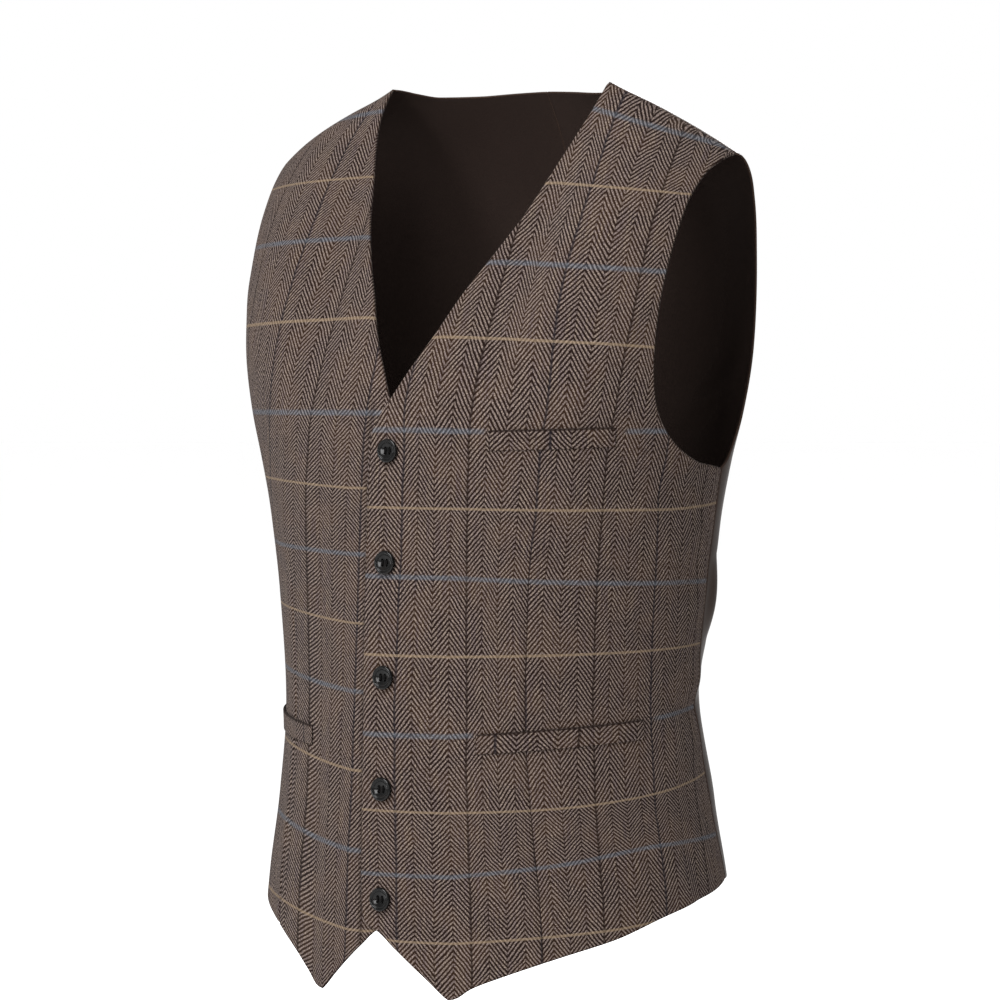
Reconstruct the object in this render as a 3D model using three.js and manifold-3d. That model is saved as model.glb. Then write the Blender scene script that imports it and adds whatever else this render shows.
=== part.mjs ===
// Suit waistcoat, worn and buttoned, hollow, at its real size.
// Millimetres. +Z is up, the wearer looks along -Y and the wearer's left is +X.
// The origin is midway between the two points where the shoulder seams meet the neckline.
import * as THREE from 'three';
import { mergeVertices } from 'three/addons/utils/BufferGeometryUtils.js';
import Module from 'manifold-3d';

const wasm = await Module();
wasm.setup();

// Cloth and seams
const TWEED = 2.2; // fronts: tweed, interlining and facing pressed together
const SATIN = 1.4; // back: satin and its lining
const WELT = 1.8; // pocket welts, a folded strip
const SEAM_GAP = 0.3; // between neighbouring pieces

// Closure
const LAP_CLEAR = 0.6; // between the two fronts where they overlap
const LAP_LEFT = 12.5; // how far the left front reaches past the centre, on top
const LAP_RIGHT = 22; // how far the right front reaches past it, underneath
const LAP_FLAT = 27; // the left front stays lifted to here
const LAP_FADE = 66; // and lies on the figure again from here
const VEE_Z = -217; // bottom of the V, where the two neckline edges cross
const APEX_Z = -572; // top of the cutaway, where the two hem edges cross

// Buttons
const BUTTON_X = 5.5;
const BUTTON_HEIGHTS = [-250, -325, -402, -477, -551];
const BUTTON_D = 16.2;
const BUTTON_RIM = 3.2;
const BUTTON_HOLE_D = 1.7;
const BUTTON_HOLE_AT = 1.75; // holes stand at this distance each way from the middle

// Pockets: angles round the figure and heights of the welt's top edge, and how far its lower
// edge is turned on so that the ends stand upright
const WELT_H = 14;
const CHEST_WELT = { from: 23, to: 56, zFrom: -235.6, zTo: -232.8, lean: 1.1 };
const SIDE_WELT = { from: 27.6, to: 73.8, zFrom: -438.5, zTo: -429.4, lean: 0 };

// The figure under the cloth: one row a level, half width, depth in front of and behind the
// origin, and how square the front and the back of that level are (2 is an ellipse)
const LEVELS = [
  { z: -660, half: 183, front: 132.0, back: 127, squareFront: 1.85, squareBack: 2.25 },
  { z: -600, half: 179, front: 132.0, back: 126, squareFront: 1.85, squareBack: 2.25 },
  { z: -545, half: 172, front: 131.5, back: 122, squareFront: 1.86, squareBack: 2.25 },
  { z: -490, half: 162, front: 130.5, back: 120, squareFront: 1.86, squareBack: 2.2 },
  { z: -430, half: 156, front: 129.0, back: 108, squareFront: 1.86, squareBack: 2.2 },
  { z: -350, half: 162, front: 127.0, back: 106, squareFront: 1.9, squareBack: 2.2 },
  { z: -300, half: 169, front: 125.0, back: 110, squareFront: 1.98, squareBack: 2.25 },
  { z: -255, half: 177, front: 123.0, back: 116, squareFront: 2.1, squareBack: 2.3 },
  { z: -225, half: 184, front: 121.5, back: 121, squareFront: 2.2, squareBack: 2.35 },
  { z: -180, half: 193, front: 120.0, back: 124, squareFront: 2.3, squareBack: 2.4 },
  { z: -120, half: 203, front: 118.0, back: 124, squareFront: 2.3, squareBack: 2.4 },
  { z: -60, half: 214, front: 116.0, back: 124, squareFront: 2.3, squareBack: 2.4 },
  { z: 40, half: 224, front: 115.0, back: 124, squareFront: 2.3, squareBack: 2.4 },
];

// The ridge of the shoulder, from the middle of the neck outwards
const RIDGE = [
  { x: 0, z: 46, y: 4 },
  { x: 50, z: 26, y: 6 },
  { x: 92.5, z: 0, y: 8 },
  { x: 130, z: -17.5, y: 12 },
  { x: 165, z: -36.5, y: 18 },
  { x: 190, z: -52, y: 22 },
  { x: 225, z: -78, y: 26 },
];
// The wearer's right shoulder is held a little higher than the left
const RIGHT_RAISE = 6;
const RAISE_FROM = 100;
const RAISE_TO = 180;
const CHEST_Z = -250; // above this level the figure closes towards the ridge
const NECK_X = 92.5; // where the shoulder seam meets the neckline
const TIP_X = 187; // where it meets the armhole
// How the chest and the back close towards the ridge, near the neck and out at the armhole
const CLOSE_FROM = 70;
const CLOSE_TO = 170;
const CHEST_CLOSE = { softNeck: 45, softArm: 400, powerNeck: 1.1, powerArm: 1.6 };
const BACK_CLOSE = { rise: 2.4, powerNeck: 1.6, powerArm: 2.1 };

// Neckline edge of a front: distance from the centre at each height
const NECKLINE = [
  { z: -217, x: 0 },
  { z: -194, x: 13 },
  { z: -171, x: 26 },
  { z: -147, x: 37.5 },
  { z: -118, x: 53 },
  { z: -92, x: 65.4 },
  { z: -63, x: 75.6 },
  { z: -39, x: 84.2 },
  { z: -16, x: 90.6 },
  { z: 0, x: 92.5 },
];
// Turn of that edge into the straight buttoned edge, in laps
const VEE_TURN = [
  { lap: 1, drop: 2.8 },
  { lap: 0.91, drop: 1.95 },
  { lap: 0.6, drop: 1.12 },
];
// Turn of the buttoned edge into the cutaway, in laps
const APEX_TURN = [
  { lap: 1, rise: 1.5 },
  { lap: 0.9, rise: 0.78 },
  { lap: 0.26, rise: 0.06 },
];

// Hem of a front from the cutaway to the side seam: angle round the figure, height on the left
// front, and how much higher the right front rides there
const CUTAWAY = [
  { at: 5.8, z: -583.3 },
  { at: 14.6, z: -605 },
  { at: 17.9, z: -614.2 },
  { at: 19, z: -616.6 },
];
const HEM = [
  { at: 20.4, z: -615.8, ride: 0 },
  { at: 24.3, z: -608.6, ride: 2.5 },
  { at: 31, z: -600.5, ride: 8 },
  { at: 45, z: -586.5, ride: 12 },
  { at: 58.8, z: -575, ride: 10 },
  { at: 74.5, z: -561, ride: 6 },
  { at: 89.7, z: -552.5, ride: 3 },
  { at: 110, z: -543, ride: 0 },
];
const BACK_HEM = [
  { at: 110, z: -543 },
  { at: 145, z: -541 },
  { at: 180, z: -540 },
];
const SIDE_SEAM = [
  { at: 110, z: -543 },
  { at: 107, z: -500 },
  { at: 103.4, z: -440 },
  { at: 103, z: -330 },
  { at: 100, z: -262 },
];

// Armhole from the underarm over the front, and over the back, up to the shoulder seam
const ARMHOLE_FRONT = [
  { at: 100, z: -262 },
  { at: 90, z: -259 },
  { at: 83.4, z: -254 },
  { at: 76.4, z: -245 },
  { at: 69.4, z: -228.5 },
  { at: 66, z: -213 },
  { at: 63.4, z: -192 },
  { at: 61.6, z: -171 },
  { at: 60, z: -147 },
  { at: 58.6, z: -120 },
  { at: 57.2, z: -97 },
  { at: 56.1, z: -78 },
  { at: 56.2, z: -64 },
];
const ARMHOLE_BACK = [
  { at: 100, z: -262 },
  { at: 104.5, z: -257 },
  { at: 109, z: -246 },
  { at: 113, z: -230 },
  { at: 117, z: -205 },
  { at: 120, z: -172 },
  { at: 122, z: -137 },
  { at: 123.3, z: -104 },
  { at: 123.6, z: -80 },
  { at: 122.8, z: -64 },
];
const BACK_NECK = [
  { x: 86, z: -2.5 },
  { x: 75, z: -5 },
  { x: 50, z: -4.5 },
  { x: 25, z: -3 },
  { x: 0, z: -2 },
];
const MM_PER_DEGREE = 2.9; // round the figure, near enough to space points along an edge

// Monotone cubic through the rows of a table, one column against another
function through(rows, key, column) {
  const x = rows.map((row) => row[key]);
  const y = rows.map((row) => row[column]);
  const step = x.slice(1).map((value, i) => value - x[i]);
  const rise = step.map((h, i) => (y[i + 1] - y[i]) / h);
  const slope = x.map((_, i) => {
    if (i === 0) return rise[0];
    if (i === x.length - 1) return rise[i - 1];
    if (rise[i - 1] * rise[i] <= 0) return 0;
    const before = 2 * step[i] + step[i - 1];
    const after = step[i] + 2 * step[i - 1];
    return (before + after) / (before / rise[i - 1] + after / rise[i]);
  });
  return (at) => {
    const q = Math.min(Math.max(at, x[0]), x[x.length - 1]);
    let k = 0;
    while (k < x.length - 2 && q > x[k + 1]) k += 1;
    const t = (q - x[k]) / step[k];
    const a = (2 * t ** 3 - 3 * t ** 2 + 1) * y[k] + (t ** 3 - 2 * t ** 2 + t) * step[k] * slope[k];
    return a + (3 * t ** 2 - 2 * t ** 3) * y[k + 1] + (t ** 3 - t ** 2) * step[k] * slope[k + 1];
  };
}

const level = {};
for (const name of ['half', 'front', 'back', 'squareFront', 'squareBack']) {
  level[name] = through(LEVELS, 'z', name);
}
const smooth = (t) => {
  const c = Math.min(Math.max(t, 0), 1);
  return c * c * (3 - 2 * c);
};
const ridgeLine = through(RIDGE, 'x', 'z');
const ridgeY = through(RIDGE, 'x', 'y');
const ridgeZ = (x, side) => {
  const raise = side < 0 ? RIGHT_RAISE * smooth((x - RAISE_FROM) / (RAISE_TO - RAISE_FROM)) : 0;
  return ridgeLine(x) + raise;
};
const mix = (a, b, t) => a + (b - a) * t;
const radians = THREE.MathUtils.degToRad;
const degrees = THREE.MathUtils.radToDeg;

// The figure's surface at an angle from the centre front (0 front, 90 side, 180 back; the
// wearer's right is negative) and a height. A level is a superellipse; above the chest its
// depth shrinks along a rounded profile until it reaches the ridge of the shoulder.
function figure(at, z) {
  const side = at < 0 ? -1 : 1;
  const angle = Math.abs(at);
  const front = angle <= 90;
  const square = front ? level.squareFront(z) : level.squareBack(z);
  const depth = front ? level.front(z) : level.back(z);
  const turn = radians(angle);
  const x = level.half(z) * Math.abs(Math.sin(turn)) ** (2 / square);
  let y = -Math.sign(Math.cos(turn)) * depth * Math.abs(Math.cos(turn)) ** (2 / square);
  if (z > CHEST_Z) {
    const out = smooth((x - CLOSE_FROM) / (CLOSE_TO - CLOSE_FROM));
    const h = z - CHEST_Z;
    const full = ridgeZ(x, side) - CHEST_Z;
    const soft = mix(CHEST_CLOSE.softNeck, CHEST_CLOSE.softArm, out);
    const rounded = (Math.hypot(h, soft) - soft) / (Math.hypot(full, soft) - soft);
    const plain = (h / full) ** BACK_CLOSE.rise;
    const close = front ? CHEST_CLOSE : BACK_CLOSE;
    const left = Math.max(1 - (front ? rounded : plain), 0);
    y = mix(ridgeY(x), y, left ** (1 / mix(close.powerNeck, close.powerArm, out)));
  }
  return new THREE.Vector3(side * x, y, z);
}

// Angle at which a level reaches a given distance from the middle plane
function angleAt(x, z, behind = false) {
  const square = behind ? level.squareBack(z) : level.squareFront(z);
  const angle = degrees(Math.asin(Math.min(Math.abs(x) / level.half(z), 1) ** (square / 2)));
  return Math.sign(x) * (behind ? 180 - angle : angle);
}

// Outward normal of the figure; on the ridge it halves the angle between chest and back
function outward(at, z) {
  const side = at < 0 ? -1 : 1;
  const here = figure(at, z);
  const head = ridgeZ(Math.abs(here.x), side) - z;
  if (head < 0.5) {
    const chest = figure(side * angleAt(Math.abs(here.x), z - 3), z - 3).sub(here).normalize();
    const back = figure(side * angleAt(Math.abs(here.x), z - 3, true), z - 3).sub(here).normalize();
    return chest.add(back).negate().normalize();
  }
  const up = Math.min(1, head / 2);
  const round = figure(at + 0.4, z).sub(figure(at - 0.4, z));
  const rise = figure(at, z + up).sub(figure(at, z - 1));
  return round.cross(rise).normalize();
}

// An edge through chart points, by distance along it from 0 to 1
function edge(points) {
  const rows = points.map((point) => ({ ...point, along: 0 }));
  for (let i = 1; i < rows.length; i += 1) {
    const round = (rows[i].at - rows[i - 1].at) * MM_PER_DEGREE;
    rows[i].along = rows[i - 1].along + Math.hypot(round, rows[i].z - rows[i - 1].z);
  }
  const length = rows[rows.length - 1].along;
  const at = through(rows, 'along', 'at');
  const z = through(rows, 'along', 'z');
  const walk = (t) => ({ at: at(t * length), z: z(t * length) });
  walk.share = (i) => rows[i].along / length;
  return walk;
}

// Surface patch between four edges in the chart (Coons)
function patch(bottom, top, left, right) {
  return (u, v) => {
    const point = {};
    for (const key of ['at', 'z']) {
      const ruled = mix(bottom(u)[key], top(u)[key], v) + mix(left(v)[key], right(v)[key], u);
      const low = mix(bottom(0)[key], bottom(1)[key], u);
      const high = mix(top(0)[key], top(1)[key], u);
      point[key] = ruled - mix(low, high, v);
    }
    return point;
  };
}

const straight = (from, to) => (t) => ({ at: mix(from.at, to.at, t), z: mix(from.z, to.z, t) });
const spaced = (from, to, cells) => Array.from({ length: cells + 1 }, (_, i) => mix(from, to, i / cells));

// A wall of cloth: outer points over inner points on one grid, closed by a rim
function wall(columns, rows, outerAt, innerAt, mirrored) {
  const positions = [];
  const faces = [];
  const index = (i, j, inner) => (inner ? columns * rows : 0) + j * columns + i;
  for (const place of [outerAt, innerAt]) {
    for (let j = 0; j < rows; j += 1) {
      for (let i = 0; i < columns; i += 1) positions.push(...place(i, j).toArray());
    }
  }
  const quad = (a, b, c, d) => {
    if (mirrored) faces.push(a, c, b, a, d, c);
    else faces.push(a, b, c, a, c, d);
  };
  for (let j = 0; j + 1 < rows; j += 1) {
    for (let i = 0; i + 1 < columns; i += 1) {
      quad(index(i, j), index(i + 1, j), index(i + 1, j + 1), index(i, j + 1));
      quad(index(i, j + 1, true), index(i + 1, j + 1, true), index(i + 1, j, true), index(i, j, true));
    }
  }
  const rim = (i, j, k, l) => quad(index(i, j, true), index(k, l, true), index(k, l), index(i, j));
  for (let i = 0; i + 1 < columns; i += 1) {
    rim(i, 0, i + 1, 0);
    rim(i + 1, rows - 1, i, rows - 1);
  }
  for (let j = 0; j + 1 < rows; j += 1) {
    rim(columns - 1, j, columns - 1, j + 1);
    rim(0, j + 1, 0, j);
  }
  const geometry = new THREE.BufferGeometry();
  geometry.setAttribute('position', new THREE.Float32BufferAttribute(positions, 3));
  geometry.setIndex(faces);
  geometry.computeVertexNormals();
  return geometry;
}

const tweed = new THREE.MeshStandardMaterial({ color: 0x6b5a4e, roughness: 0.92, metalness: 0 });
const satin = new THREE.MeshStandardMaterial({ color: 0x2a2320, roughness: 0.45, metalness: 0 });
const horn = new THREE.MeshStandardMaterial({ color: 0x0c0b0b, roughness: 0.18, metalness: 0 });

const waistcoat = new THREE.Group();

function add(name, geometry, material) {
  const mesh = new THREE.Mesh(geometry, material);
  mesh.name = name;
  waistcoat.add(mesh);
  return mesh;
}

const UNDERARM = SIDE_SEAM[SIDE_SEAM.length - 1];
const HALF_GAP = SEAM_GAP / 2;
const gapAngle = HALF_GAP / MM_PER_DEGREE;

// The left front lies on the right one, so it is lifted off the figure near the centre
const lift = (at) => {
  const x = Math.sign(at) * Math.abs(figure(at, CHEST_Z).x);
  return (TWEED + LAP_CLEAR) * (1 - smooth((x - LAP_FLAT) / (LAP_FADE - LAP_FLAT)));
};

// Shoulder seam of one side from the neckline out to the armhole, along the ridge
const shoulder = (side) => (t) => {
  const x = mix(NECK_X, TIP_X, t);
  const z = ridgeZ(x, side);
  return { at: angleAt(x, z), z };
};

// A front: buttoned edge, V neckline, shoulder seam, armhole, side seam, hem and cutaway.
// Angles are on the front's own side, and a negative one is past the centre.
function frontEdges(side, lap) {
  const fromX = ({ x, z }) => ({ at: angleAt(x, z), z });
  const turnTop = VEE_TURN.map((row) => fromX({ x: -row.lap * lap, z: VEE_Z - row.drop * lap }));
  const turnLow = APEX_TURN.map((row) => fromX({ x: -row.lap * lap, z: APEX_Z + row.rise * lap }));
  const neckline = NECKLINE.map(fromX);
  const apex = { at: 0, z: APEX_Z };
  const seam = SIDE_SEAM.map((row) => ({ at: row.at - gapAngle, z: row.z }));
  const armhole = ARMHOLE_FRONT.map((row) => ({ at: row.at, z: row.z }));
  armhole[0].at -= gapAngle;
  const hemLine = HEM.map((row) => ({ at: row.at, z: row.z + (side < 0 ? row.ride : 0) }));
  const hemRows = [...turnLow, apex, ...CUTAWAY, ...hemLine];
  hemRows[hemRows.length - 1].at -= gapAngle;
  const hem = edge(hemRows);
  return {
    hem,
    tip: hem.share(turnLow.length + CUTAWAY.length),
    buttoned: edge(spaced(0, 1, 6).map((t) => {
      const z = mix(turnLow[0].z, turnTop[0].z, t);
      return fromX({ x: -lap, z });
    })),
    neck: edge([...turnTop, ...neckline]),
    side: edge(seam),
    armhole: edge([...armhole, shoulder(side)(1)]),
    chest: straight(turnTop[0], seam[seam.length - 1]),
    shoulder: shoulder(side),
  };
}

const FRONT_CELLS = { cutaway: 6, hem: 18, body: 13, chest: 14 };

function frontGrid(side, lap) {
  const e = frontEdges(side, lap);
  const body = patch(e.hem, e.chest, e.buttoned, e.side);
  const chest = patch(e.chest, e.shoulder, e.neck, e.armhole);
  const toTip = spaced(0, e.tip, FRONT_CELLS.cutaway);
  const u = [...toTip, ...spaced(e.tip, 1, FRONT_CELLS.hem).slice(1)];
  const low = spaced(0, 1, FRONT_CELLS.body).map((v) => u.map((s) => body(s, v)));
  const crowded = (v) => 1 - (1 - v) ** 1.35;
  const high = spaced(0, 1, FRONT_CELLS.chest).slice(1).map((v) => u.map((s) => chest(s, crowded(v))));
  return [...low, ...high];
}

// Point of a front at a chart place, off the figure by a distance
function onCloth(side, at, z, off) {
  const point = figure(side * at, z);
  return point.addScaledVector(outward(side * at, z), off);
}

function front(name, side, lap, lifted) {
  const grid = frontGrid(side, lap);
  const last = grid.length - 1;
  const place = (depth) => (i, j) => {
    const { at, z } = grid[j][i];
    const point = onCloth(side, at, z, (lifted ? lift(at) : 0) - depth);
    if (j === last) point.y -= HALF_GAP;
    return point;
  };
  add(name, wall(grid[0].length, grid.length, place(0), place(TWEED), side < 0), tweed);
}

front('left_front', 1, LAP_LEFT, true);
front('right_front', -1, LAP_RIGHT, false);

const BACK_CELLS = { shoulder: 8, neck: 8, body: FRONT_CELLS.body, upper: 13 };

// A half of the back: hem, side seam, armhole, shoulder seam, neck edge and centre seam
function backGrid(side) {
  const middle = (z) => ({ at: angleAt(HALF_GAP, z, true), z });
  const behind = ({ at, z }) => ({ at: at + gapAngle, z });
  const neckRows = BACK_NECK.map(({ x, z }) => (x > 0 ? { at: angleAt(x, z, true), z } : middle(z)));
  const ridge = spaced(TIP_X, NECK_X, BACK_CELLS.shoulder).map((x) => {
    const z = ridgeZ(x, side);
    return { at: angleAt(x, z, true), z };
  });
  const hemRows = BACK_HEM.map((row) => ({ ...row }));
  hemRows[0].at += gapAngle;
  hemRows[hemRows.length - 1] = middle(hemRows[hemRows.length - 1].z);
  const armRows = ARMHOLE_BACK.map((row) => ({ ...row }));
  armRows[0].at += gapAngle;
  const neckTop = neckRows[neckRows.length - 1];
  const top = edge([...ridge, ...neckRows]);
  const chestRow = straight(armRows[0], middle(UNDERARM.z));
  const hem = edge(hemRows);
  const body = patch(hem, chestRow, edge(SIDE_SEAM.map(behind)), straight(middle(hem(1).z), middle(UNDERARM.z)));
  const upper = patch(chestRow, top, edge([...armRows, ridge[0]]), straight(middle(UNDERARM.z), neckTop));
  const corner = top.share(BACK_CELLS.shoulder);
  const u = [...spaced(0, corner, BACK_CELLS.shoulder), ...spaced(corner, 1, BACK_CELLS.neck).slice(1)];
  const low = spaced(0, 1, BACK_CELLS.body).map((v) => u.map((s) => body(s, v)));
  const crowded = (v) => 1 - (1 - v) ** 1.35;
  const high = spaced(0, 1, BACK_CELLS.upper).slice(1).map((v) => u.map((s) => upper(s, crowded(v))));
  return [...low, ...high];
}

function back(name, side) {
  const grid = backGrid(side);
  const last = grid.length - 1;
  const place = (depth) => (i, j) => {
    const { at, z } = grid[j][i];
    const point = onCloth(side, at, z, -depth);
    if (j === last && i <= BACK_CELLS.shoulder) point.y += HALF_GAP;
    if (i === grid[0].length - 1) point.x = side * HALF_GAP;
    return point;
  };
  add(name, wall(grid[0].length, grid.length, place(0), place(SATIN), side < 0), satin);
}

back('back_left', 1);
back('back_right', -1);

// A welt lies on its front and follows it
function welt(name, side, row, cells) {
  const raised = (at) => (side > 0 ? lift(at) : 0) + SEAM_GAP;
  const place = (depth) => (i, j) => {
    const t = i / cells;
    const below = 1 - j / 2;
    const at = mix(row.from, row.to, t) + row.lean * below;
    const z = mix(row.zFrom, row.zTo, t) - WELT_H * below;
    return onCloth(side, at, z, raised(at) + depth);
  };
  add(name, wall(cells + 1, 3, place(WELT), place(0), side < 0), tweed);
}

welt('chest_welt', 1, CHEST_WELT, 12);
welt('left_welt', 1, SIDE_WELT, 16);
welt('right_welt', -1, SIDE_WELT, 16);

// A solid from a closed three.js geometry, its doubled points merged
function solid(geometry) {
  geometry.deleteAttribute('normal');
  geometry.deleteAttribute('uv');
  const merged = mergeVertices(geometry, 1e-4);
  const corners = [...merged.index.array];
  const triangles = [];
  for (let k = 0; k < corners.length; k += 3) {
    const [a, b, c] = corners.slice(k, k + 3);
    if (a !== b && b !== c && c !== a) triangles.push(a, b, c);
  }
  return new wasm.Manifold(new wasm.Mesh({
    numProp: 3,
    vertProperties: new Float32Array(merged.attributes.position.array),
    triVerts: new Uint32Array(triangles),
  }));
}

// Button: turned profile with a raised rim and a dished middle, then four sewing holes
function buttonGeometry() {
  const r = BUTTON_D / 2;
  const profile = [
    [0, 0], [r - 1.6, 0], [r - 0.3, 0.9], [r, 1.9], [r - 0.5, BUTTON_RIM - 0.2], [r - 1.1, BUTTON_RIM],
    [r - 1.9, BUTTON_RIM - 0.3], [r - 2.5, BUTTON_RIM - 1], [r - 3.1, BUTTON_RIM - 0.8], [0, BUTTON_RIM - 0.9],
  ].map(([x, y]) => new THREE.Vector2(x, y));
  const turned = new THREE.LatheGeometry(profile, 28);
  turned.rotateX(Math.PI / 2); // the axis, up the turned profile, becomes +Z
  let body = solid(turned);
  for (const [sx, sy] of [[1, 1], [1, -1], [-1, 1], [-1, -1]]) {
    const drill = new THREE.CylinderGeometry(BUTTON_HOLE_D / 2, BUTTON_HOLE_D / 2, BUTTON_RIM * 3, 8);
    drill.rotateX(Math.PI / 2);
    drill.translate(sx * BUTTON_HOLE_AT, sy * BUTTON_HOLE_AT, 0);
    body = body.subtract(solid(drill));
  }
  const mesh = body.getMesh();
  const geometry = new THREE.BufferGeometry();
  geometry.setAttribute('position', new THREE.Float32BufferAttribute([...mesh.vertProperties], 3));
  geometry.setIndex([...mesh.triVerts]);
  geometry.computeVertexNormals();
  return geometry;
}

// Buttons stand on the left front, turned to face along its normal
const facing = new THREE.Vector3(0, 0, 1);
BUTTON_HEIGHTS.forEach((z, k) => {
  const at = angleAt(BUTTON_X, z);
  const normal = outward(at, z);
  const button = add(`button_${k + 1}`, buttonGeometry(), horn);
  button.position.copy(figure(at, z)).addScaledVector(normal, lift(at) + SEAM_GAP);
  button.quaternion.setFromUnitVectors(facing, normal);
});

export default waistcoat;
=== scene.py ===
import bpy
import numpy as np
from mathutils import Matrix


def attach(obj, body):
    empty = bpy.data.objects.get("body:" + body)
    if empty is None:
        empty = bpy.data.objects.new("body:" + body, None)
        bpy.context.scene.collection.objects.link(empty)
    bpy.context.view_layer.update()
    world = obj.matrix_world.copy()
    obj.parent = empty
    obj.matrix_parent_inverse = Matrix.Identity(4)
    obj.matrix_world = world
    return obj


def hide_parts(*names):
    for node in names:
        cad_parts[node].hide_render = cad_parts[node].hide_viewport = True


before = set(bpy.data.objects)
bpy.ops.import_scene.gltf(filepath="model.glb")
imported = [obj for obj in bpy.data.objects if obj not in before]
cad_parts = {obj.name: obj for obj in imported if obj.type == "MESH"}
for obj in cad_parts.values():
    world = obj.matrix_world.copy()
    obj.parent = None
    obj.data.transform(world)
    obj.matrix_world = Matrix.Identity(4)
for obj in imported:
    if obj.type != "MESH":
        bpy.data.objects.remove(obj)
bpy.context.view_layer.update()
MM = 0.001

# Left front
# The wearer's left front, on top: brown herringbone tweed over interlining, turned back at the
# edge and the V as a facing, lined with dark satin, shaped by one long dart and cut to a point.
TWEED_THICK = 2.2
# Gap of a seam in the solids, and how far each piece goes on into it, so that it closes
SEAM_GAP, SEAM_CLOSED = 0.3, 0.2
# Breadth of a degree round the figure, for distances in the chart of angle and height
MM_PER_DEGREE = 2.9
LAP_CLEAR = 0.6
LAP_LEFT = 12.5
LAP_FLAT = 27
LAP_FADE = 66
VEE_Z = -217
APEX_Z = -572
CHEST_Z = -250
NECK_X = 92.5
TIP_X = 187

# Height, half width, depth in front and behind, squareness in front and behind (2 is an ellipse)
LEVELS = np.array([
    [-660, 183, 132.0, 127, 1.85, 2.25],
    [-600, 179, 132.0, 126, 1.85, 2.25],
    [-545, 172, 131.5, 122, 1.86, 2.25],
    [-490, 162, 130.5, 120, 1.86, 2.20],
    [-430, 156, 129.0, 108, 1.86, 2.20],
    [-350, 162, 127.0, 106, 1.90, 2.20],
    [-300, 169, 125.0, 110, 1.98, 2.25],
    [-255, 177, 123.0, 116, 2.10, 2.30],
    [-225, 184, 121.5, 121, 2.20, 2.35],
    [-180, 193, 120.0, 124, 2.30, 2.40],
    [-120, 203, 118.0, 124, 2.30, 2.40],
    [-60, 214, 116.0, 124, 2.30, 2.40],
    [40, 224, 115.0, 124, 2.30, 2.40],
])
# Ridge of the shoulder: distance from the middle, height, place front to back
RIDGE = np.array([
    [0, 46, 4],
    [50, 26, 6],
    [92.5, 0, 8],
    [130, -17.5, 12],
    [165, -36.5, 18],
    [190, -52, 22],
    [225, -78, 26],
])
RIGHT_RAISE = 6
RAISE_FROM, RAISE_TO = 100, 180
CLOSE_FROM, CLOSE_TO = 70, 170
CHEST_CLOSE = {"soft_neck": 45, "soft_arm": 400, "power_neck": 1.1, "power_arm": 1.6}
BACK_CLOSE = {"rise": 2.4, "power_neck": 1.6, "power_arm": 2.1}
RIDGE_EASE = 3
RIDGE_BLEND = 8

# Neckline: distance from the middle and height
NECKLINE = [
    [0, -217], [13, -194], [26, -171], [37.5, -147], [53, -118], [65.4, -92], [75.6, -63],
    [84.2, -39], [90.6, -16], [92.5, 0],
]
# Turn of the neckline into the buttoned edge, and of that edge into the cutaway, in laps
VEE_TURN = [[1, -2.8], [0.91, -1.95], [0.6, -1.12]]
APEX_TURN = [[1, 1.5], [0.9, 0.78], [0.26, 0.06]]
# Angle round the figure and height; the hem's third column is how much higher the right front rides
CUTAWAY = [[5.8, -583.3], [14.6, -605], [17.9, -614.2], [19, -616.6]]
HEM = [
    [20.4, -615.8, 0], [24.3, -608.6, 2.5], [31, -600.5, 8], [45, -586.5, 12],
    [58.8, -575, 10], [74.5, -561, 6], [89.7, -552.5, 3], [110, -543, 0],
]
SIDE_SEAM = [[110, -543], [107, -500], [103.4, -440], [103, -330], [100, -262]]
ARMHOLE_FRONT = [
    [100, -262], [90, -259], [83.4, -254], [76.4, -245], [69.4, -228.5], [66, -213], [63.4, -192],
    [61.6, -171], [60, -147], [58.6, -120], [57.2, -97], [56.1, -78], [56.2, -64],
]
# Dart: height and angle from its point near the chest to the hem, and the cloth it takes in
DART = [[-600, 41], [-581, 41], [-385, 39.7], [-291, 38.4], [-240, 38.4]]
DART_POINT_Z, DART_FULL_Z, DART_INTAKE = -291, -385, 3
DART_GROOVE, DART_GROOVE_W = 0.9, 1.5

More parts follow.
